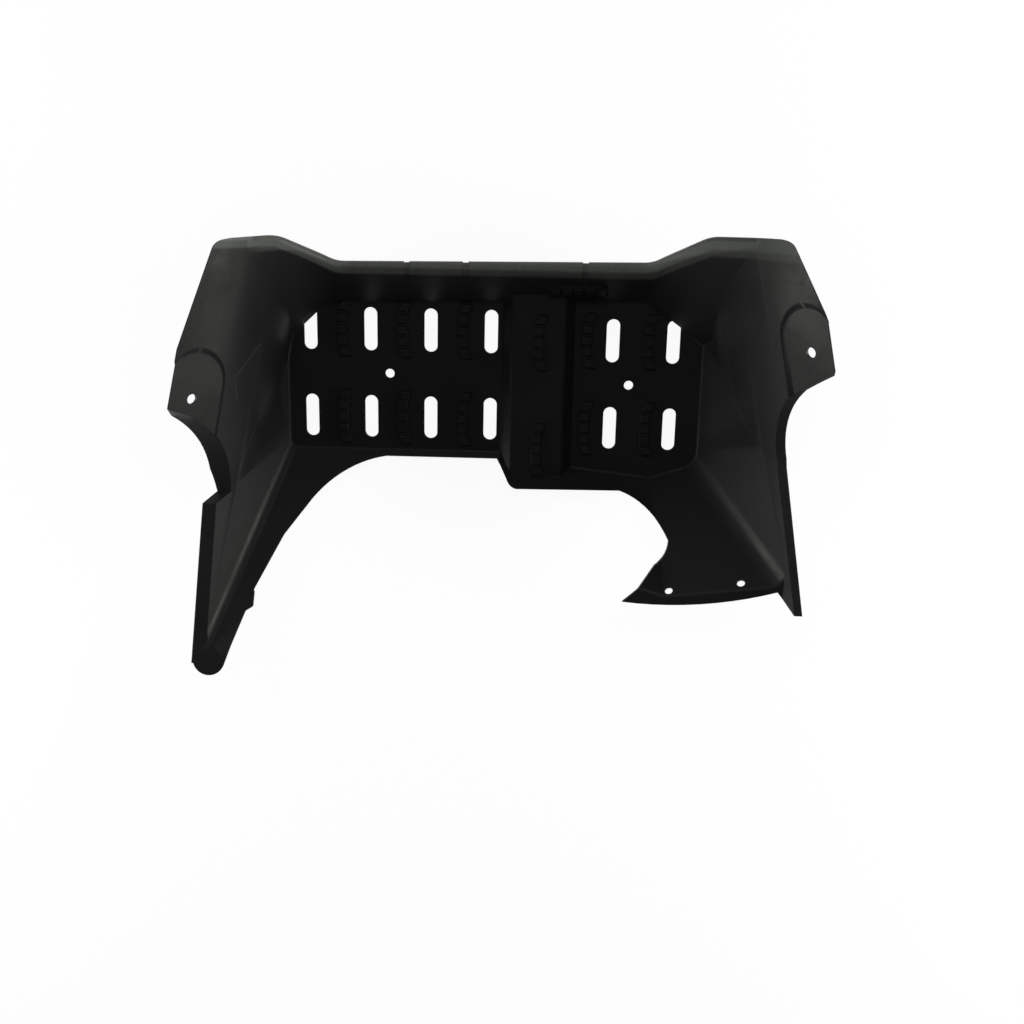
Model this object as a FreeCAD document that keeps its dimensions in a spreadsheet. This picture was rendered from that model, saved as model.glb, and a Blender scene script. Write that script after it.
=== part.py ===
import FreeCAD, Part
import os
import re
import Sketcher
from FreeCAD import Placement, Rotation, Vector

# Footwell shield of a quad bike: one thin moulded shell.
# X runs along the vehicle, +Y points to its outer side and Z is up.
# The origin is the middle of the floor's underside. Lengths are in millimetres, angles in degrees.

SIZES = {
    "wall": 3,
    "reach": 700,
    "block_height": 230,
    # floor, with the lines along which the walls leave it
    "floor_length": 427,
    "far_edge": 75,
    "far_turn": 1.3,
    "near_edge_left": 80,
    "near_edge_right": 95,
    "near_turn_right": 6.5,
    "panel_out": -47.5,
    "panel_turn": 18.7,
    "panel_overlap": 90,
    "corner_left_out": -41.5,
    "corner_left_turn": 43.3,
    "corner_right_out": -59.5,
    "corner_right_turn": 35.7,
    # how far each wall leans out from the vertical
    "end_lean": 30,
    "far_lean": 38,
    "corner_left_lean": 36,
    "corner_right_lean": 40,
    "near_lean_left": 57,
    "near_lean_right": 40,
    "panel_lean": 40,
    # wheel arches, each round its own axle
    "arch_left_radius": 219,
    "axle_left_out": 227,
    "axle_left_z": -8,
    "axle_left_turn": 11.5,
    "arch_right_radius": 279,
    "axle_right_out": 299.3,
    "axle_right_z": -25,
    "axle_right_turn": 12.2,
    # raised channel across the floor
    "bridge_left": 7,
    "bridge_right": 82,
    "bridge_height": 11.5,
    "bridge_flank": 10.5,
    "ridge_round": 5,
    # rolled rim of the outer wall
    "rim_height": 46,
    "rim_edge_left": 116,
    "rim_edge_right": 121,
    "lip_drop": 10,
    "ramp_left_out": -57.5,
    "shoulder_left_out": -7.5,
    "shoulder_left_y": 142,
    "peak_left_out": 38.5,
    "peak_left_y": 139,
    "peak_left_z": 134,
    "ramp_right_out": -59.5,
    "shoulder_right_out": -9.5,
    "shoulder_right_y": 149,
    "peak_right_out": 49.5,
    "peak_right_y": 151,
    "peak_right_z": 144,
    # edges of the end walls and of the wheel arches
    "flange_left": 12,
    "flange_right": 8,
    "band_left": 17,
    "band_right": 8,
    "strip_right_out": 72.2,
    "strip_right_turn": 7.9,
    "tip_reach": 30,
    # roundings
    "corner_round": 40,
    "end_round_left": 12,
    "end_round_right": 25,
    "floor_round": 4,
    "ramp_round": 40,
    "rim_round": 8,
    "nose_round": 4,
    "plan_round": 30,
    "crown_round": 12,
    # shallow grooves over the rim
    "groove_width": 6,
    "groove_depth": 1,
    "groove_1_x": -90,
    "groove_2_x": -32,
    "groove_3_x": 86,
    # outline of the left end wall: tab, scallop and arm, as Y and Z
    "tab_left_y": -1,
    "tab_left_z": 178,
    "tab_left_foot_y": -24,
    "tab_left_foot_z": 134,
    "scallop_left_y": -110,
    "scallop_left_z": 82,
    "scallop_left_radius": 150,
    "arm_left_y": -118,
    "arm_left_z": 100,
    "arm_left_slope": 8,
    # outline of the right end wall
    "tab_right_y": 58,
    "tab_right_z": 200,
    "tab_right_foot_y": 17,
    "tab_right_foot_z": 143,
    "scallop_right_y": -56,
    "scallop_right_z": 111,
    "scallop_right_radius": 100,
    "arm_right_y": -64,
    "arm_right_z": 112,
    "arm_right_slope": 14.57,
    # straight top edges of the wheel arches, in plan
    "crown_left_out": 35.5,
    "crown_left_y": 138,
    "crown_left_turn": 20,
    "tab_left_out": 79.9,
    "tab_left_turn": 12.7,
    "crown_right_out": 52.5,
    "crown_right_y": 147,
    "crown_right_turn": 26.5,
    "tab_right_out": 103.7,
    "tab_right_turn": 13,
    # screw pads sunk into the wheel arches
    "pad_left_angle": 41.7,
    "pad_left_along": 25,
    "pad_left_radius": 30,
    "pad_right_angle": 41.0,
    "pad_right_along": 98.5,
    "pad_right_radius": 26,
    "pad_shift": 14,
    "pad_depth": 4,
    "pad_slope": 30,
    "pad_height": 60,
    "pad_run": 70,
    "tab_hole": 10,
    # edge of the shell towards the vehicle, in plan
    "tip_left_out": 65.5,
    "tip_left_y": 279,
    "tip_left_radius": 16,
    "tip_left_width": 31,
    "hook_end_out": 31.5,
    "hook_end_y": 230,
    "hook_out": 24.5,
    "hook_y": 226,
    "hook_length": 12,
    "arm_heel_out": 25.5,
    "arm_heel_y": 212,
    "arm_knee_out": -0.5,
    "arm_knee_y": 162,
    "arm_bend_out": -27.5,
    "arm_bend_y": 127.5,
    "wheel_cut_out": -101.5,
    "wheel_cut_y": 86.8,
    "wheel_cut_radius": 120,
    "step_x": 15,
    "step_y": 105,
    "step_radius": 13,
    "lip_x": 28,
    "lip_y": 113,
    "lip_end_out": -80.5,
    "lip_end_y": 115,
    "beak_out": -31.5,
    "beak_y": 155,
    "beak_radius": 80,
    "throat_out": -46.5,
    "throat_y": 175,
    "throat_radius": 27,
    "beak_tip_out": -78.8,
    "beak_tip_y": 207.5,
    "panel_end_out": 69.3,
    "panel_end_y": 184.3,
    "panel_end_radius": 374,
    "tip_right_out": 83.5,
    "tip_right_y": 202,
    # level edge along the top of the near panel
    "ledge_out": -76.8,
    "ledge_y": 203.8,
    "ledge_z": 105.5,
    "ledge_rise": 10,
    "ledge_round": 6,
    # drain slots and holes in the floor
    "slot_width": 13.6,
    "slot_length": 44.5,
    "slot_pitch": 62,
    "slot_row": 91,
    "slot_left_x": -190,
    "slot_left_y": 0,
    "slot_right_x": 121,
    "slot_right_y": -6.5,
    "floor_hole": 9.6,
    "floor_hole_left_x": -108.5,
    "floor_hole_right_x": 139,
    "panel_hole": 8,
    "panel_hole_first": 15,
    "panel_hole_gap": 69.5,
    "panel_hole_up": 137.2,
    "panel_hole_rise": 14.3,
    # serrated grip cleats
    "cleat_length": 58,
    "cleat_width": 9,
    "cleat_height": 5,
    "cleat_bend": 12,
    "cleat_sweep": 5,
    "tooth_depth": 2.5,
    "cleat_offset": 33,
    "cleat_right_x": 94,
    "cleat_right_gap": 63,
    "cleat_bridge_near": 74,
    "cleat_bridge_far": 37,
    "wall_cleat_x": 84,
    "wall_cleat_up": 27,
}

doc = FreeCAD.newDocument("footwell_shield")
sheet = doc.addObject("Spreadsheet::Sheet", "sizes")
for row, (alias, value) in enumerate(SIZES.items(), start=1):
    sheet.set("A%d" % row, alias)
    sheet.set("B%d" % row, str(value))
    sheet.setAlias("B%d" % row, alias)
doc.recompute()


# Turns the names of sizes in an expression into cells. An _out size counts from the end of the floor.
def cells(text):
    def cell(word):
        name = word[0]
        if name not in SIZES:
            return name
        return ("(sizes.floor_length / 2 + sizes.%s)" if name.endswith("_out") else "sizes.%s") % name
    return re.sub(r"\b[a-z]\w*\b", cell, text)


def value(text):
    return float(sheet.evalExpression(cells(text)))


def add(kind, name, **bindings):
    piece = doc.addObject(kind, name)
    for field, text in bindings.items():
        piece.setExpression(field, cells(text))
    return piece


def join(kind, name, pieces):
    result = doc.addObject(kind, name)
    if kind == "Part::Cut":
        result.Base, result.Tool = pieces
    else:
        result.Shapes = pieces
    doc.recompute()
    return result


# Rounds those edges of a solid whose middle lies on every solid of one of the groups.
def rounded(name, base, radius, *groups):
    found = []
    for index, edge in enumerate(base.Shape.Edges, start=1):
        middle = Part.Vertex(edge.valueAt((edge.FirstParameter + edge.LastParameter) / 2))
        if any(all(middle.distToShape(piece.Shape)[0] < 0.01 for piece in group) for group in groups):
            found.append(index)
    fillet = doc.addObject("Part::Fillet", name)
    fillet.Base = base
    size = value(radius)
    fillet.Edges = [(index, size, size) for index in found]
    doc.recompute()
    return fillet


def place(x, y, z, turn="0", lean="0"):
    return "placement(vector(%s; %s; %s); rotation(%s; 0; -(%s)))" % (x, y, z, turn, lean)


# A slab fills what lies outside a leaning wall. Its foot line passes through x, y on the floor,
# and the slab stands back from it by grow.
def slab(name, x, y, turn, lean, grow, start="-reach", length="2 * reach"):
    shift = place(start, grow, "-reach / 2")
    return add("Part::Box", name, Length=length, Width="reach", Height="2 * reach",
               Placement=place(x, y, "wall", turn, lean) + " * " + shift)


def arch(name, side, turn, grow):
    sign = "-" if side == "left" else ""
    spot = place("%saxle_%s_out" % (sign, side), "0", "axle_%s_z" % side, turn, "90")
    return add("Part::Cylinder", name, Radius="arch_%s_radius - (%s)" % (side, grow), Height="2 * reach",
               Placement=spot + " * " + place("0", "0", "-reach"))


PLANES = {
    "plan": Rotation(),
    "front": Rotation(Vector(1, 0, 0), 90),
    "side": Rotation(Vector(1, 1, 1), 120),
}


# A closed sketch through corners (across, up, radius). The stretch that starts at a corner with a radius
# is an arc, which bulges to the right of the way it is walked, or to the left with a minus sign.
def outline(name, plane, corners):
    sketch = doc.addObject("Sketcher::SketchObject", name)
    sketch.Placement = Placement(Vector(), PLANES[plane])
    spots = [Vector(value(across), value(up), 0) for across, up, radius in corners]
    ends = []
    for index, (across, up, radius) in enumerate(corners):
        start = spots[index]
        end = spots[(index + 1) % len(spots)]
        if radius:
            chord = end - start
            size = abs(value(radius))
            rise = size - (size ** 2 - chord.Length ** 2 / 4) ** 0.5
            side = Vector(chord.y, -chord.x, 0).normalize() * (rise if value(radius) > 0 else -rise)
            curve = Part.Arc(start, (start + end) / 2 + side, end)
        else:
            curve = Part.LineSegment(start, end)
        sketch.addGeometry(curve)
        first = 1 if (sketch.getPoint(index, 1) - start).Length < 1e-6 else 2
        ends.append((first, 3 - first))
    for index, (across, up, radius) in enumerate(corners):
        after = (index + 1) % len(corners)
        sketch.addConstraint(Sketcher.Constraint("Coincident", index, ends[index][1], after, ends[after][0]))
        rules = [("DistanceX", (-1, 1, index, ends[index][0], spots[index].x), across),
                 ("DistanceY", (-1, 1, index, ends[index][0], spots[index].y), up)]
        if radius:
            rules.append(("Radius", (index, abs(value(radius))), "abs(%s)" % radius))
        for kind, where, text in rules:
            number = sketch.addConstraint(Sketcher.Constraint(kind, *where))
            sketch.setExpression("Constraints[%d]" % number, cells(text))
    doc.recompute()
    return sketch


def extrude(name, source, way, length, across="0", along="0"):
    solid = doc.addObject("Part::Extrusion", name)
    solid.Base = source
    solid.DirMode = "Custom"
    solid.Dir = way
    solid.Solid = True
    solid.setExpression("LengthFwd", cells(length))
    solid.setExpression("Placement.Base.x", cells(across))
    solid.setExpression("Placement.Base.y", cells(along))
    doc.recompute()
    return solid


def widened(name, source, amount):
    wider = doc.addObject("Part::Offset2D", name)
    wider.Source = source
    wider.Join = 2
    wider.setExpression("Value", cells(amount))
    doc.recompute()
    return wider


far_y = "(far_edge %s * tan(far_turn))"
panel_y = "-near_edge_right - (panel_out - bridge_right) * tan(near_turn_right)"


# The outer walls end at a rim, drawn as seen from the outer side. What lies above it is open.
def ramp_top(side):
    run = "(peak_%s_out - ramp_%s_out) / (peak_%s_z - rim_height)" % (side, side, side)
    return "(ramp_%s_out + (2 * block_height - rim_height) * %s)" % (side, run)


rim = outline("rim", "front", [
    ("-" + ramp_top("left"), "2 * block_height", None),
    ("-ramp_left_out", "rim_height", None),
    ("ramp_right_out", "rim_height", None),
    (ramp_top("right"), "2 * block_height", None),
])


# What lies above the rim, lowered by drop.
def above_rim(name, drop):
    front = widened(name + "_edge", rim, drop) if drop else rim
    above = extrude(name, front, Vector(0, 1, 0), "reach")
    above.Symmetric = True
    foot = add("Part::Box", name + "_foot", Length="2 * reach", Width="2 * wall", Height="reach",
               Placement=place("-reach", "-wall", "rim_height + wall - reach"))
    doc.recompute()
    return rounded(name + "_ramps", above, "ramp_round + " + (drop or "0"), (above, foot))


# What lies outside a near wall. At its upper end the wall bends out along the ledge.
# Where it meets another wall, given as that wall's outside and inside, the corner is rounded first.
def bent(name, grow, above, rounds, corner=None, **where):
    outside = slab(name, grow=grow, **where)
    if not rounds:
        return join("Part::Cut", name + "_bent", (outside, above))
    inside = slab(name + "_face", grow=grow + " - reach", **where)
    doc.recompute()
    whole = outside
    if corner:
        whole = join("Part::MultiFuse", name + "_walls", [outside, corner[0]])
        whole = rounded(name + "_corner", whole, "end_round_right + " + grow, (outside, inside) + corner)
    bend = join("Part::Cut", name + "_bent", (whole, above))
    return rounded(name + "_roll", bend, "ledge_round - " + grow, (outside, above, inside))


# The foot space as a solid: a block, less all that lies outside its walls.
# Each grow moves a group of walls outwards, which gives the outer face of the shell.
def foot_space(name, floor, above, far_grow, end_grow, arch_grow, near_grow, rounds=True):
    block = add("Part::Box", name + "_block", Length="2 * reach", Width="2 * reach", Height="block_height",
                Placement=place("-reach", "-reach", floor))
    far_side = [
        slab(name + "_far", "0", "far_edge", "far_turn", "far_lean", far_grow),
        slab(name + "_corner_left", "-corner_left_out", far_y % "- corner_left_out",
             "corner_left_turn", "corner_left_lean", far_grow),
        slab(name + "_corner_right", "corner_right_out", far_y % "+ corner_right_out",
             "-corner_right_turn", "corner_right_lean", far_grow),
    ]
    spot = ("placement(vector(ledge_out; -ledge_y; ledge_z - %s); rotation(panel_turn; -ledge_rise; 0))"
            % near_grow)
    ledge = add("Part::Box", name + "_ledge", Length="4 * reach", Width="4 * reach", Height="2 * reach",
                Placement=spot + " * " + place("-2 * reach", "-2 * reach", "0"))
    grow_left = end_grow.replace("side", "left")
    grow_right = end_grow.replace("side", "right")
    end_left = slab(name + "_end_left", "-floor_length / 2", "0", "90", "end_lean", grow_left)
    end_right = slab(name + "_end_right", "floor_length / 2", "0", "-90", "end_lean", grow_right)
    end_right_face = slab(name + "_end_right_face", "floor_length / 2", "0", "-90", "end_lean",
                          grow_right + " - reach")
    near_left = slab(name + "_near_left", "bridge_left", "-near_edge_left", "180", "near_lean_left",
                     near_grow, start=near_grow, length="reach")
    lip_end = "(bridge_right - bridge_left + %s) / cos(near_turn_right)" % near_grow
    near_right = bent(name + "_near_right", near_grow, ledge, rounds, x="bridge_right", y="-near_edge_right",
                      turn="180 - near_turn_right", lean="near_lean_right",
                      start="-reach", length="reach + " + lip_end)
    panel = bent(name + "_panel", near_grow, ledge, rounds, (end_right, end_right_face), x="panel_out",
                 y=panel_y, turn="180 + panel_turn", lean="panel_lean",
                 start="-reach", length="reach + panel_overlap")
    rest = [
        end_left, end_right, near_left, near_right, panel,
        arch(name + "_arch_left", "left", "-axle_left_turn", arch_grow.replace("side", "left")),
        arch(name + "_arch_right", "right", "axle_right_turn", arch_grow.replace("side", "right")),
    ]
    far_walls = join("Part::MultiFuse", name + "_far_side", far_side)
    space = join("Part::Cut", name + "_far_space", (block, far_walls))
    if rounds:
        space = rounded(name + "_corners", space, "corner_round + " + far_grow, far_side[:2], far_side[::2])
    above = join("Part::MultiCommon", name + "_top", [above, block])
    opened = join("Part::MultiFuse", name + "_open_space", [space, above])
    if rounds:
        opened.Refine = True
        doc.recompute()
        opened = rounded(name + "_rolled", opened, "rim_round - " + far_grow, (space, above))
    result = join("Part::Cut", name, (opened, join("Part::MultiFuse", name + "_rest", rest)))
    if rounds:
        result = rounded(name + "_end_l", result, "end_round_left + " + near_grow, (end_left, near_left))
    return result


def crown_run(side):
    slope = "(peak_%s_y - shoulder_%s_y) / (peak_%s_out - shoulder_%s_out)" % (side, side, side, side)
    return "shoulder_%s_y + (reach - shoulder_%s_out) * %s" % (side, side, slope)


rim_plan = outline("rim_plan", "plan", [
    ("reach", crown_run("right"), None),
    ("shoulder_right_out", "shoulder_right_y", None),
    ("ramp_right_out", "rim_edge_right", None),
    ("-ramp_left_out", "rim_edge_left", None),
    ("-shoulder_left_out", "shoulder_left_y", None),
    ("-reach", crown_run("left"), None),
    ("-reach", "reach", None),
    ("reach", "reach", None),
])


# What lies beyond the rim in plan, moved inwards by shift.
def beyond_rim(name, shift):
    plan = widened(name + "_edge", rim_plan, shift) if shift else rim_plan
    beyond = extrude(name, plan, Vector(0, 0, 1), "reach")
    level = add("Part::Box", name + "_level", Length="reach", Width="reach / 2", Height="2 * wall",
                Placement=place("-reach / 2", "0", "reach / 2 - wall"))
    doc.recompute()
    return rounded(name + "_corners", beyond, "plan_round", (beyond, level))


rim_tool = beyond_rim("rim_tool", "")
lip = join("Part::MultiCommon", "lip", [beyond_rim("lip_band", "wall"), above_rim("lip_above", "lip_drop")])

inner_open = above_rim("inner_above", "")
outer_open = above_rim("outer_above", "wall")
inner = foot_space("inner", "wall", inner_open, "0", "0", "0", "0")
base = add("Part::Box", "base", Length="2 * reach", Width="2 * reach", Height="reach",
           Placement=place("-reach", "-reach", "wall - reach"))
doc.recompute()
inner = rounded("inner_floor", inner, "floor_round", (base,))
outer = foot_space("outer", "0", outer_open, "wall", "wall", "wall", "wall")
limit = foot_space("limit", "0", outer_open, "tip_reach", "flange_side", "band_side", "tip_reach", False)


# A place on a wheel arch: along its axle, and out from it at an angle above the horizontal.
def on_arch(side, along, out):
    sign, turn, yaw = ("-", "-axle_left_turn", "-pad_left_angle")
    if side == "right":
        sign, turn, yaw = ("", "axle_right_turn", "180 + pad_right_angle")
    axle = place("%saxle_%s_out" % (sign, side), "0", "axle_%s_z" % side, turn, "90")
    ray = "placement(vector(0; 0; %s); rotation(%s; 90; 0))" % (along, yaw)
    return axle + " * " + ray + " * " + place("0", "0", out)


# A flat screw pad with sloping sides, round at its top, which runs out over the lower edge of the tab.
def pad(name, side, thick):
    radius = "(pad_%s_radius + %s * tan(pad_slope / 2))" % (side, thick)
    shape = outline(name + "_outline", "plan", [
        ("pad_run", "-" + radius, None),
        ("pad_run", radius, None),
        ("0", radius, radius),
        ("-" + radius, "0", radius),
        ("0", "-" + radius, None),
    ])
    solid = extrude(name, shape, Vector(0, 0, 1), "3 * pad_depth")
    solid.setExpression("TaperAngle", cells("90 - pad_slope"))
    out = "arch_%s_radius - pad_depth - %s" % (side, thick)
    spot = on_arch(side, "pad_%s_along + pad_shift" % side, out)
    solid.setExpression("Placement", cells(spot))
    doc.recompute()
    return solid


for side in ("left", "right"):
    inner = join("Part::MultiFuse", "inner_pad_" + side, [inner, pad("pad_" + side, side, "0")])
    outer = join("Part::MultiFuse", "outer_pad_" + side, [outer, pad("pad_back_" + side, side, "wall")])

# Raised channel: a ridge in the foot space, hollow below.
sink = "(2 * bridge_height)"
ridge = outline("ridge", "front", [
    ("bridge_left - 2 * bridge_flank", "wall - " + sink, None),
    ("bridge_right + 2 * bridge_flank", "wall - " + sink, None),
    ("bridge_right - bridge_flank", "wall + bridge_height", None),
    ("bridge_left + bridge_flank", "wall + bridge_height", None),
])
ridge_solid = extrude("ridge_solid", ridge, Vector(0, 1, 0), "2 * reach")
ridge_solid.Symmetric = True
hollow = extrude("hollow", widened("hollow_section", ridge, "-wall"), Vector(0, 1, 0), "2 * reach")
hollow.Symmetric = True
crest = add("Part::Box", "crest", Length="2 * reach", Width="2 * wall", Height="reach",
            Placement=place("-reach", "-wall", "0"))
doc.recompute()
ridge_solid = rounded("ridge_rounded", ridge_solid, "ridge_round", (ridge_solid, crest))
hollow = rounded("hollow_rounded", hollow, "ridge_round - wall", (hollow, crest))
inner = join("Part::Cut", "inner_ridged", (inner, ridge_solid))
outer = join("Part::Cut", "outer_ridged", (outer, hollow))


def copies(name, master, places):
    found = []
    for index, where in enumerate(places):
        link = doc.addObject("App::Link", "%s_%d" % (name, index))
        link.LinkedObject = master
        link.setExpression("Placement", cells(where))
        found.append(link)
    doc.recompute()
    return found


# What lies above the edges of the end walls: tab, scallop and arm.
def end_edge(side):
    far_end = "arm_%s_y - reach / 2" % side
    return outline("edge_" + side, "side", [
        ("tab_%s_y" % side, "block_height", None),
        (far_end, "block_height", None),
        (far_end, "arm_%s_z + reach / 2 * tan(arm_%s_slope)" % (side, side), None),
        ("arm_%s_y" % side, "arm_%s_z" % side, None),
        ("scallop_%s_y" % side, "scallop_%s_z" % side, "scallop_%s_radius" % side),
        ("tab_%s_foot_y" % side, "tab_%s_foot_z" % side, None),
        ("tab_%s_y" % side, "tab_%s_z" % side, None),
    ])


for side, way in (("left", Vector(-1, 0, 0)), ("right", Vector(1, 0, 0))):
    edge = end_edge(side)
    start = "%g * floor_length / 3" % way.x
    above = extrude("inner_above_" + side, edge, way, "reach", across=start)
    inner = join("Part::MultiFuse", "inner_open_" + side, [inner, above])
    edge_below = widened("outer_edge_" + side, edge, "wall")
    above = extrude("outer_above_" + side, edge_below, way, "reach", across=start)
    outer = join("Part::MultiFuse", "outer_open_" + side, [outer, above])

outer = join("Part::MultiFuse", "outer_lipped", [outer, lip])
shell = join("Part::Cut", "thin_shell", (outer, inner))
shell = join("Part::MultiCommon", "trimmed_shell", [shell, limit])

# The rim is cut off in plan, with a rounded nose.
open_top = doc.getObject("inner_top")
air = join("Part::MultiFuse", "air_round_rim", [rim_tool, open_top])
air = rounded("rim_nose", air, "nose_round", (rim_tool, open_top, doc.getObject("limit_block")))
rim_cut = join("Part::Cut", "rim_cut", (air, open_top))

# Straight top edges of the wheel arches, with rounded corners where they meet the rim.
crown_left = slab("crown_left", "-crown_left_out", "crown_left_y", "90 - crown_left_turn", "0", "0")
crown_right = slab("crown_right", "crown_right_out", "crown_right_y", "crown_right_turn - 90", "0", "0")
level = doc.getObject("rim_tool_level")
doc.recompute()
crown = join("Part::MultiFuse", "crown_edges", [rim_tool, crown_left, crown_right])
crown = rounded("crown", crown, "crown_round", (rim_tool, crown_left, level), (rim_tool, crown_right, level))
crowns = [
    slab("crown_tab_left", "-tab_left_out", "0", "90 - tab_left_turn", "0", "0"),
    slab("crown_tab_right", "tab_right_out", "0", "tab_right_turn - 90", "0", "0"),
    slab("strip_right", "strip_right_out", "arm_right_y", "strip_right_turn - 90", "0", "0",
         start="0", length="reach"),
]

# The edge towards the vehicle, cut square in plan.
cutout = outline("cutout", "plan", [
    ("-reach", "-tip_left_y", None),
    ("-tip_left_out - tip_left_width / 2", "-tip_left_y", "tip_left_radius"),
    ("-tip_left_out + tip_left_width / 2", "-tip_left_y", None),
    ("-hook_end_out", "-hook_end_y", None),
    ("-hook_out", "-hook_y", None),
    ("-hook_out", "-hook_y + hook_length", None),
    ("-arm_heel_out", "-arm_heel_y", None),
    ("-arm_knee_out", "-arm_knee_y", None),
    ("-arm_bend_out", "-arm_bend_y", "-wheel_cut_radius"),
    ("-wheel_cut_out", "-wheel_cut_y", None),
    ("bridge_left - wall", "-wheel_cut_y", None),
    ("step_x", "-step_y", "step_radius"),
    ("lip_x", "-lip_y", None),
    ("lip_end_out", "-lip_end_y", "-beak_radius"),
    ("beak_out", "-beak_y", "-throat_radius"),
    ("throat_out", "-throat_y", None),
    ("beak_tip_out", "-beak_tip_y", "panel_end_radius"),
    ("panel_end_out", "-panel_end_y", None),
    ("tip_right_out", "-tip_right_y", None),
    ("reach", "-tip_right_y", None),
    ("reach", "-reach", None),
    ("-reach", "-reach", None),
])
trims = crowns + [crown, rim_cut, extrude("cutout_tool", cutout, Vector(0, 0, 1), "reach")]

# Shallow grooves over the rim and down the outer wall.
groove_boxes = []
for index in (1, 2, 3):
    spot = place("groove_%d_x" % index, "far_edge", "rim_height - 4 * wall")
    groove_boxes.append(add("Part::Box", "groove_box_%d" % index, Length="groove_width", Width="reach",
                            Height="rim_height", Placement=spot))
grooves = join("Part::MultiFuse", "groove_boxes", groove_boxes)
deeper = copies("groove_depth", doc.getObject("inner"), [place("0", "groove_depth", "-groove_depth")])
deeper += copies("groove_nose", rim_tool, [place("0", "-groove_depth", "0")])
deeper = join("Part::MultiFuse", "groove_reach", deeper)
trims.append(join("Part::MultiCommon", "grooves", [grooves, deeper]))

# Drain slots, cut only where the floor is open above them.
slot_round = [add("Part::Cylinder", "slot_end_%d" % index, Radius="slot_width / 2", Height="4 * wall",
                  Placement=place("0", "%d * (slot_length - slot_width) / 2" % index, "-wall"))
              for index in (-1, 1)]
slot_middle = add("Part::Box", "slot_middle", Length="slot_width", Width="slot_length - slot_width",
                  Height="4 * wall",
                  Placement=place("-slot_width / 2", "-(slot_length - slot_width) / 2", "-wall"))
slot = join("Part::MultiFuse", "slot", slot_round + [slot_middle])
slot_places = []
for side, columns in (("left", "0123"), ("right", "01")):
    for column in columns:
        across = "slot_%s_x + %s * slot_pitch" % (side, column)
        for row in (-1, 1):
            slot_places.append(place(across, "slot_%s_y + %d * slot_row / 2" % (side, row), "0"))
slots = join("Part::MultiFuse", "slots", copies("slot_copy", slot, slot_places))
window = copies("floor_window", doc.getObject("inner"), [place("0", "0", "-4 * wall / 3")])[0]
trims.append(join("Part::MultiCommon", "open_slots", [slots, window]))

# Screw holes: two in the floor, one in each tab and two in the near panel.
for side in ("left", "right"):
    trims.append(add("Part::Cylinder", "floor_hole_bore_" + side, Radius="floor_hole / 2", Height="4 * wall",
                     Placement=place("floor_hole_%s_x" % side, "slot_%s_y" % side, "-wall")))
    spot = on_arch(side, "pad_%s_along" % side, "arch_%s_radius - pad_height / 2" % side)
    trims.append(add("Part::Cylinder", "tab_hole_bore_" + side, Radius="tab_hole / 2", Height="pad_height",
                     Placement=spot))
for index in range(2):
    along = "panel_hole_first - %d * panel_hole_gap" % index
    spot = place("panel_out", panel_y, "wall", "180 + panel_turn", "panel_lean") + " * "
    spot += place(along, "-4 * wall", "panel_hole_up + %d * panel_hole_rise" % index, "0", "90")
    trims.append(add("Part::Cylinder", "panel_hole_bore_%d" % index, Radius="panel_hole / 2",
                     Height="8 * wall", Placement=spot))
shell = join("Part::Cut", "pierced_shell", (shell, join("Part::MultiFuse", "trims", trims)))

# Serrated grip cleats. One is drawn lying along Y, with its ends swept towards +X.
half = "cleat_length / 2"
bend = "(cleat_length / 2 - cleat_bend)"
side_x = "cleat_width / 2"
bracket = outline("bracket", "plan", [
    ("-" + side_x, bend, None),
    ("-" + side_x, "-" + bend, None),
    ("cleat_sweep - " + side_x, "-" + half, None),
    ("cleat_sweep + " + side_x, "-" + half, None),
    (side_x, "-" + bend, None),
    (side_x, bend, None),
    ("cleat_sweep + " + side_x, half, None),
    ("cleat_sweep - " + side_x, half, None),
])
teeth = 5
edge = [(half, "-wall / 2", None), ("-" + half, "-wall / 2", None)]
for index in range(teeth):
    for share, level in ((0.05, "cleat_height - tooth_depth"), (0.2, "cleat_height"),
                         (0.8, "cleat_height"), (0.95, "cleat_height - tooth_depth")):
        edge.append(("-%s + cleat_length * %.4f" % (half, (index + share) / teeth), level, None))
saw = outline("saw", "side", edge)
saw_solid = extrude("saw_solid", saw, Vector(1, 0, 0), "4 * cleat_width")
saw_solid.Symmetric = True
bracket_solid = extrude("bracket_solid", bracket, Vector(0, 0, 1), "4 * cleat_height")
bracket_solid.Symmetric = True
cleat = join("Part::MultiCommon", "cleat", [saw_solid, bracket_solid])

cleat_places = []
for row in (-1, 1):
    for column in range(3):
        cleat_places.append(place("slot_left_x + cleat_offset + %d * slot_pitch" % column,
                                  "slot_left_y + %d * slot_row / 2" % row, "wall"))
    for column in range(2):
        cleat_places.append(place("cleat_right_x + %d * cleat_right_gap" % column,
                                  "slot_right_y + %d * slot_row / 2" % row, "wall"))
for spot in ("-cleat_bridge_near", "cleat_bridge_far"):
    cleat_places.append(place("(bridge_left + bridge_right) / 2", spot, "wall + bridge_height"))
cleat_places.append(place("0", "far_edge", "wall", "far_turn", "far_lean")
                    + " * placement(vector(wall_cleat_x; 0; wall_cleat_up); rotation(vector(1; 1; -1); 120))")
shell = join("Part::MultiFuse", "footwell_shield", [shell] + copies("cleat_copy", cleat, cleat_places))
shell.Label = "footwell_shield"

for piece in doc.Objects:
    bad = [state for state in piece.State if state in ("Invalid", "Error")]
    if bad:
        raise RuntimeError("%s is %s" % (piece.Name, bad))
shape = shell.Shape
if shape.isNull() or not shape.isValid() or len(shape.Solids) != 1:
    raise RuntimeError("the shell is not one sound solid: %d" % len(shape.Solids))
print("volume", round(shape.Volume), "box", shape.BoundBox)
os.makedirs("parts", exist_ok=True)
shape.exportStep("parts/footwell_shield.step")
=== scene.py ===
import math

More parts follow.
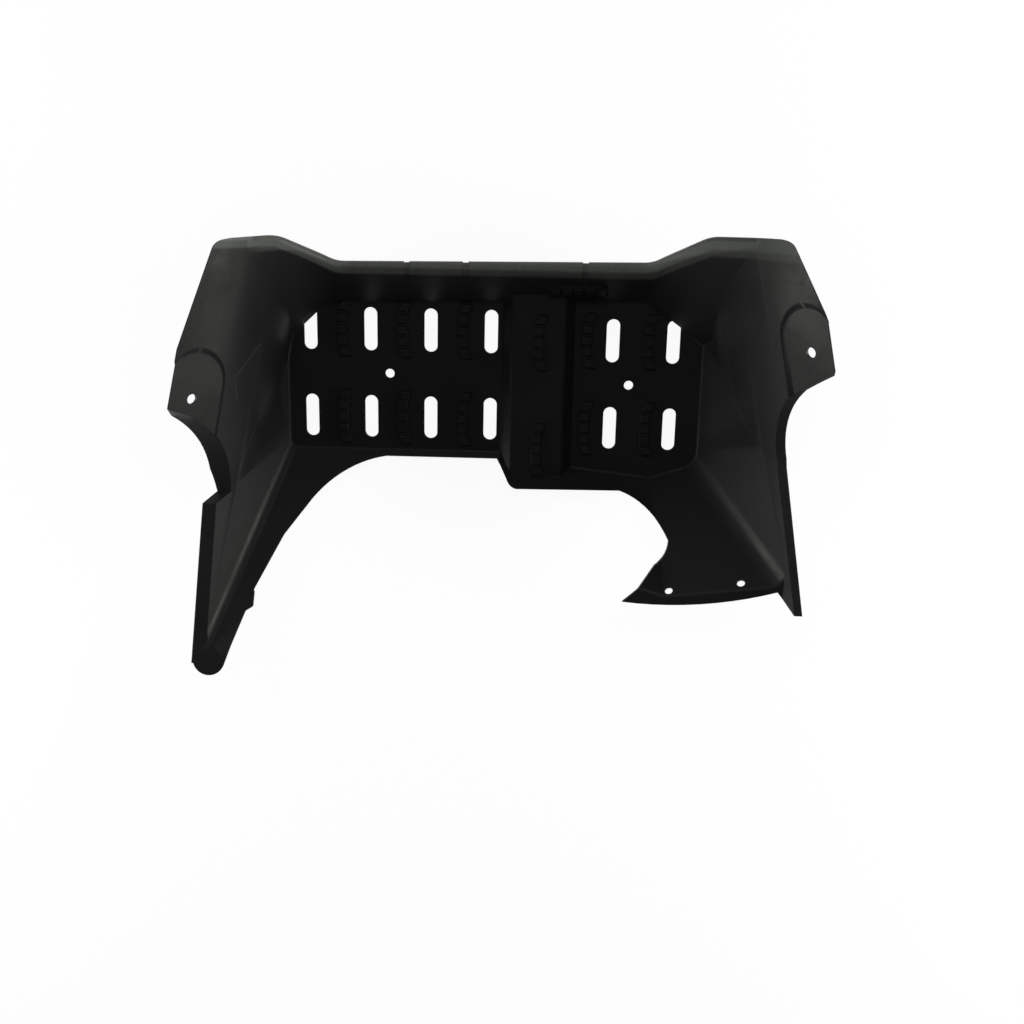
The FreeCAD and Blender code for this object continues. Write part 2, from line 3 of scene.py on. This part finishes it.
import bpy
import bmesh
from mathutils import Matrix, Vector


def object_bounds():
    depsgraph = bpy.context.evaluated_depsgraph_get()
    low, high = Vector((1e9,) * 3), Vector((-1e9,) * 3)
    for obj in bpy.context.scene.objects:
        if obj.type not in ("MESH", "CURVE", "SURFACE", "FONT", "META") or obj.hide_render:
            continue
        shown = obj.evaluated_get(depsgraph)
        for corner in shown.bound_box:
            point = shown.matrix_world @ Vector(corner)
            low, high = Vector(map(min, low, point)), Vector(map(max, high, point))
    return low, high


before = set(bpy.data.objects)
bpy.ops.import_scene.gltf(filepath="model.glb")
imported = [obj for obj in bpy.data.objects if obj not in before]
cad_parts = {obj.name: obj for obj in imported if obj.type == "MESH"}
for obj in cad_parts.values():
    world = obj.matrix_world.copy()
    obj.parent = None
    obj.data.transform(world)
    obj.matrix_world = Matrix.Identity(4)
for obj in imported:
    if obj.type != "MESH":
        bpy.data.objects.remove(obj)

cadLow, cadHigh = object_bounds()
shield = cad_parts["footwell_shield"]
print("frame loaded:", len(shield.data.polygons), "faces")


# new node, with its inputs or else its settings by name
def addNode(tree, kind, **values):
    node = tree.nodes.new(kind)
    for name, value in values.items():
        if name in node.inputs:
            node.inputs[name].default_value = value
        else:
            setattr(node, name, value)
    return node


# links a socket, or sets a plain value
def feed(tree, socket, value):
    if hasattr(value, "is_linked"):
        tree.links.new(value, socket)
    else:
        socket.default_value = value


def addMath(tree, operation, *values):
    node = addNode(tree, "ShaderNodeMath", operation=operation)
    for socket, value in zip(node.inputs, values):
        feed(tree, socket, value)
    return node.outputs[0]


def addVector(tree, operation, first, second, result="Vector"):
    node = addNode(tree, "ShaderNodeVectorMath", operation=operation)
    feed(tree, node.inputs[0], first)
    feed(tree, node.inputs["Scale" if operation == "SCALE" else 1], second)
    return node.outputs[result]


# smooth step from one range of values to another
def addRange(tree, value, low, high, toLow=0.0, toHigh=1.0):
    node = addNode(tree, "ShaderNodeMapRange", interpolation_type="SMOOTHSTEP")
    for name, number in zip(("From Min", "From Max", "To Min", "To Max"), (low, high, toLow, toHigh)):
        node.inputs[name].default_value = number
    tree.links.new(value, node.inputs["Value"])
    return node.outputs["Result"]


def clamp(tree, value):
    return addMath(tree, "MINIMUM", addMath(tree, "MAXIMUM", value, 0.0), 1.0)


# shading of the solid: lengths in metres, the area gap in square metres, the angle in radians
skin = dict(mergeGap=0.00001, sharpAngle=0.62, weight=80, areaGap=0.00001)


# merges the loose triangles and shades them smooth up to the sharp edges, led by the larger faces
def smoothSkin(piece):
    tree = bpy.data.node_groups.new("smoothSkin", "GeometryNodeTree")
    for way in ("INPUT", "OUTPUT"):
        tree.interface.new_socket("Geometry", in_out=way, socket_type="NodeSocketGeometry")
    entry = addNode(tree, "NodeGroupInput")
    weld = addNode(tree, "GeometryNodeMergeByDistance", Distance=skin["mergeGap"])
    soft = addNode(tree, "GeometryNodeSetShadeSmooth", domain="FACE")
    angle = addNode(tree, "GeometryNodeInputMeshEdgeAngle")
    sharp = addNode(tree, "FunctionNodeCompare", data_type="FLOAT", operation="GREATER_THAN")
    sharp.inputs[1].default_value = skin["sharpAngle"]
    hard = addNode(tree, "GeometryNodeSetShadeSmooth", domain="EDGE")
    hard.inputs["Shade Smooth"].default_value = False
    leave = addNode(tree, "NodeGroupOutput")
    tree.links.new(entry.outputs[0], weld.inputs["Geometry"])
    tree.links.new(weld.outputs["Geometry"], soft.inputs["Geometry"])
    tree.links.new(angle.outputs["Unsigned Angle"], sharp.inputs[0])
    tree.links.new(soft.outputs["Geometry"], hard.inputs["Geometry"])
    tree.links.new(sharp.outputs["Result"], hard.inputs["Selection"])
    tree.links.new(hard.outputs["Geometry"], leave.inputs[0])
    piece.modifiers.new("smoothSkin", "NODES").node_group = tree
    even = piece.modifiers.new("evenNormals", "WEIGHTED_NORMAL")
    even.keep_sharp = True
    even.weight = skin["weight"]
    even.thresh = skin["areaGap"]


# black satin moulding: noise scales per metre, depths and radius in metres
plastic = dict(
    colour=(0.0062, 0.0069, 0.0063),
    sheenWearColour=(0.080, 0.085, 0.076),    # paler: painted highlight on the rim, edges and arch lines, with faint rub wear on the rim and edges
    glint=(0.97, 1.0, 0.93, 1.0),
    gloss=0.085,
    clouds=dict(Scale=16.0, Detail=5.0),
    mottle=dict(Scale=170.0, Detail=4.0, Roughness=0.6),
    grain=dict(Scale=1500.0, Detail=2.0),
    mottleShare=0.45,
    dullness=(0.50, 0.95, 0.37, 0.52),    # noise levels, then polished to dull
    bump=0.5,
    mottleDepth=0.00010,
    grainDepth=0.00003,
    edge=dict(samples=4, Radius=0.0010),
    edgeSheenWear=(0.995, 0.90, 0.0, 0.08),    # cosine between the normals, then painted edge highlight and wear
)

# rolled rim in plan, where a painted highlight with some rub is laid: straight middle, then it swings out
# to both wheel arches
rim = dict(
    straight=0.155,
    run=0.050,
    middle=0.118,
    swing=0.027,
    inner=(-0.0150, -0.0118, 0.0, 0.50),
    outer=(-0.0085, -0.0050, 0.0, 0.50),
    patches=(0.25, 0.75, 0.84, 1.0),
    upward=(0.10, 0.60),
    fade=(0.14, 0.23, 1.0, 0.35),    # weaker towards the rear arch
)

# painted highlight lines in plan: two on the front wheel arch and one down the crease of each arch
highlightStrokes = dict(
    upperArchHighlight=dict(start=(-0.2261, 0.0370), end=(-0.2445, 0.0093), half=0.0008, strength=0.15),
    lowerArchHighlight=dict(start=(-0.2457, 0.0039), end=(-0.2463, -0.0152), half=0.0007, strength=0.11),
    frontCreaseHighlight=dict(start=(-0.2243, -0.0107), end=(-0.2516, -0.0890), half=0.0007, strength=0.07),
    rearCreaseHighlight=dict(start=(0.2395, -0.0080), end=(0.2700, -0.0660), half=0.0007, strength=0.07),
)
strokeCore = 0.25       # share of the half width at full strength
strokeUpward = 0.1      # least upward turn of a marked face


# thin mark between two points in plan
def addStroke(tree, flat, stroke):
    start, end = (Vector((*stroke[name], 0)) for name in ("start", "end"))
    reach = end - start
    away = addVector(tree, "SUBTRACT", flat, start)
    along = addVector(tree, "DOT_PRODUCT", away, reach / reach.length_squared, "Value")
    near = addVector(tree, "SCALE", reach, clamp(tree, along))
    gap = addVector(tree, "DISTANCE", away, near, "Value")
    half = stroke["half"]
    return addRange(tree, gap, half, half * strokeCore, 0.0, stroke["strength"])


def makePlastic():
    material = bpy.data.materials.new("blackSatinPlastic")
    material.use_nodes = True
    tree = material.node_tree
    link = tree.links.new
    shader = tree.nodes["Principled BSDF"]
    shader.inputs["Specular IOR Level"].default_value = plastic["gloss"]
    shader.inputs["Specular Tint"].default_value = plastic["glint"]
    spot = addNode(tree, "ShaderNodeTexCoord").outputs["Object"]
    split = addNode(tree, "ShaderNodeSeparateXYZ")
    link(spot, split.inputs[0])

    # broad clouds and a finer mottle in the gloss
    noises = []
    for name in ("clouds", "mottle", "grain"):
        noise = addNode(tree, "ShaderNodeTexNoise", **plastic[name])
        link(spot, noise.inputs["Vector"])
        noises.append(noise.outputs["Fac"])
    clouds, mottle, grain = noises
    blend = addMath(tree, "MULTIPLY_ADD", mottle, plastic["mottleShare"], clouds)
    link(addRange(tree, blend, *plastic["dullness"]), shader.inputs["Roughness"])

    # painted edge highlight and faint edge wear: where the rounded normal leaves the true one
    rounded = addNode(tree, "ShaderNodeBevel", **plastic["edge"]).outputs["Normal"]
    normal = addNode(tree, "ShaderNodeNewGeometry").outputs["Normal"]
    turn = addVector(tree, "DOT_PRODUCT", rounded, normal, "Value")
    edge = addRange(tree, turn, *plastic["edgeSheenWear"])

    # painted highlight and rub along the rim, on faces turned up
    upward = addNode(tree, "ShaderNodeSeparateXYZ")
    link(normal, upward.inputs[0])
    out = addMath(tree, "ABSOLUTE", split.outputs["X"])
    out = addMath(tree, "DIVIDE", addMath(tree, "SUBTRACT", out, rim["straight"]), rim["run"])
    line = addMath(tree, "MULTIPLY_ADD", clamp(tree, out), rim["swing"], rim["middle"])
    past = addMath(tree, "SUBTRACT", split.outputs["Y"], line)
    inner, outer = (addRange(tree, past, *rim[name]) for name in ("inner", "outer"))
    rimSheenAndRub = addMath(tree, "ADD", inner, outer)
    for name, level in (("patches", mottle), ("upward", upward.outputs["Z"]), ("fade", split.outputs["X"])):
        rimSheenAndRub = addMath(tree, "MULTIPLY", rimSheenAndRub, addRange(tree, level, *rim[name]))
    sheenWearMask = addMath(tree, "MAXIMUM", rimSheenAndRub, edge)

    # painted highlight lines on the arches, on faces turned up
    flat = addVector(tree, "MULTIPLY", spot, (1, 1, 0))
    facing = addMath(tree, "GREATER_THAN", upward.outputs["Z"], strokeUpward)
    for stroke in highlightStrokes.values():
        mark = addMath(tree, "MULTIPLY", addStroke(tree, flat, stroke), facing)
        sheenWearMask = addMath(tree, "MAXIMUM", sheenWearMask, mark)

    # colour paled by the painted highlights, with faint wear on the rim and edges
    colour = addNode(tree, "ShaderNodeMix", data_type="RGBA")
    colour.inputs["A"].default_value = (*plastic["colour"], 1)
    colour.inputs["B"].default_value = (*plastic["sheenWearColour"], 1)
    link(sheenWearMask, colour.inputs["Factor"])
    link(colour.outputs["Result"], shader.inputs["Base Color"])

    # mottle and grain on the rounded normal
    for height, depth in ((mottle, "mottleDepth"), (grain, "grainDepth")):
        bump = addNode(tree, "ShaderNodeBump", Strength=plastic["bump"], Distance=plastic[depth])
        link(height, bump.inputs["Height"])
        link(rounded, bump.inputs["Normal"])
        rounded = bump.outputs["Normal"]
    link(rounded, shader.inputs["Normal"])
    return material


smoothSkin(shield)
shield.data.materials.clear()
shield.data.materials.append(makePlastic())
print("plastic made")

# pale studio floor: half its side and its drop in metres
floorSheet = dict(size=6.0, drop=0.0004, colour=(0.86, 0.86, 0.86), glow=0.92)


# white to the rays that see it, with a share left matte for the shadow
def makeFloor():
    mesh = bmesh.new()
    bmesh.ops.create_grid(mesh, x_segments=1, y_segments=1, size=floorSheet["size"])
    bmesh.ops.translate(mesh, verts=mesh.verts, vec=(0, 0, cadLow.z - floorSheet["drop"]))
    data = bpy.data.meshes.new("studioFloor")
    mesh.to_mesh(data)
    mesh.free()
    floor = bpy.data.objects.new("studioFloor", data)
    bpy.context.scene.collection.objects.link(floor)
    material = bpy.data.materials.new("paleFloor")
    material.use_nodes = True
    tree = material.node_tree
    tree.nodes.clear()
    path = addNode(tree, "ShaderNodeLightPath")
    seen = path.outputs["Is Camera Ray"]
    for ray in ("Is Glossy Ray", "Is Transmission Ray"):
        seen = addMath(tree, "MAXIMUM", seen, path.outputs[ray])
    share = addMath(tree, "MULTIPLY", seen, floorSheet["glow"])
    matte = addNode(tree, "ShaderNodeBsdfDiffuse", Color=(*floorSheet["colour"], 1))
    white = addNode(tree, "ShaderNodeEmission", Color=(1, 1, 1, 1), Strength=1.0)
    mix = addNode(tree, "ShaderNodeMixShader")
    out = addNode(tree, "ShaderNodeOutputMaterial")
    for socket, value in zip(mix.inputs, (share, matte.outputs[0], white.outputs[0])):
        tree.links.new(value, socket)
    tree.links.new(mix.outputs[0], out.inputs["Surface"])
    data.materials.append(material)


makeFloor()
print("floor laid")

# soft boxes: place, aim and size in metres, power in watts
softBoxes = dict(
    leftLight=dict(place=(-1.6, -0.10, 0.30), aim=(0.2, 0.1, 0.13), size=(1.1, 0.6), power=42.0),
    rightLight=dict(place=(1.6, -0.10, 0.30), aim=(-0.2, 0.1, 0.13), size=(1.1, 0.6), power=56.0),
    farLight=dict(place=(0.0, 1.0, 1.8), aim=(0.0, 0.05, 0.05), size=(2.0, 0.6), power=14.0),
)


def makeLights():
    for name, light in softBoxes.items():
        lamp = bpy.data.lights.new(name, "AREA")
        lamp.shape = "RECTANGLE"
        lamp.size, lamp.size_y = light["size"]
        lamp.energy = light["power"]
        box = bpy.data.objects.new(name, lamp)
        box.location = light["place"]
        box.visible_camera = False
        aim = Vector(light["aim"]) - box.location
        box.rotation_euler = aim.to_track_quat("-Z", "Y").to_euler()
        bpy.context.scene.collection.objects.link(box)


makeLights()

# pale air round the horizon, dim overhead: heights on the sky, then strengths
air = dict(low=0.10, high=0.75, toLow=0.54, toHigh=0.13)


def makeAir():
    world = bpy.data.worlds.new("studioAir")
    world.use_nodes = True
    tree = world.node_tree
    shade = tree.nodes["Background"]
    shade.inputs["Color"].default_value = (1, 1, 1, 1)
    spot = addNode(tree, "ShaderNodeTexCoord")
    split = addNode(tree, "ShaderNodeSeparateXYZ")
    tree.links.new(spot.outputs["Generated"], split.inputs[0])
    tree.links.new(addRange(tree, split.outputs["Z"], **air), shade.inputs["Strength"])
    bpy.context.scene.world = world


makeAir()
print("lights set")

# the photographer's place in metres, turn in degrees, lens in millimetres
viewPoint = dict(
    place=(0.0424, 0.2001, 1.2375),
    turn=(-15.629, 1.318, 1.189),
    lens=42.1875,
    sensor=36.0,
    clip=(0.01, 50.0),
)


def makeCamera():
    lens = bpy.data.cameras.new("photoCamera")
    lens.lens = viewPoint["lens"]
    lens.sensor_width = viewPoint["sensor"]
    lens.clip_start, lens.clip_end = viewPoint["clip"]
    camera = bpy.data.objects.new("photoCamera", lens)
    camera.location = viewPoint["place"]
    camera.rotation_euler = [math.radians(angle) for angle in viewPoint["turn"]]
    bpy.context.scene.collection.objects.link(camera)
    bpy.context.scene.camera = camera


makeCamera()
bpy.context.scene.view_settings.view_transform = "Standard"
print("camera placed")
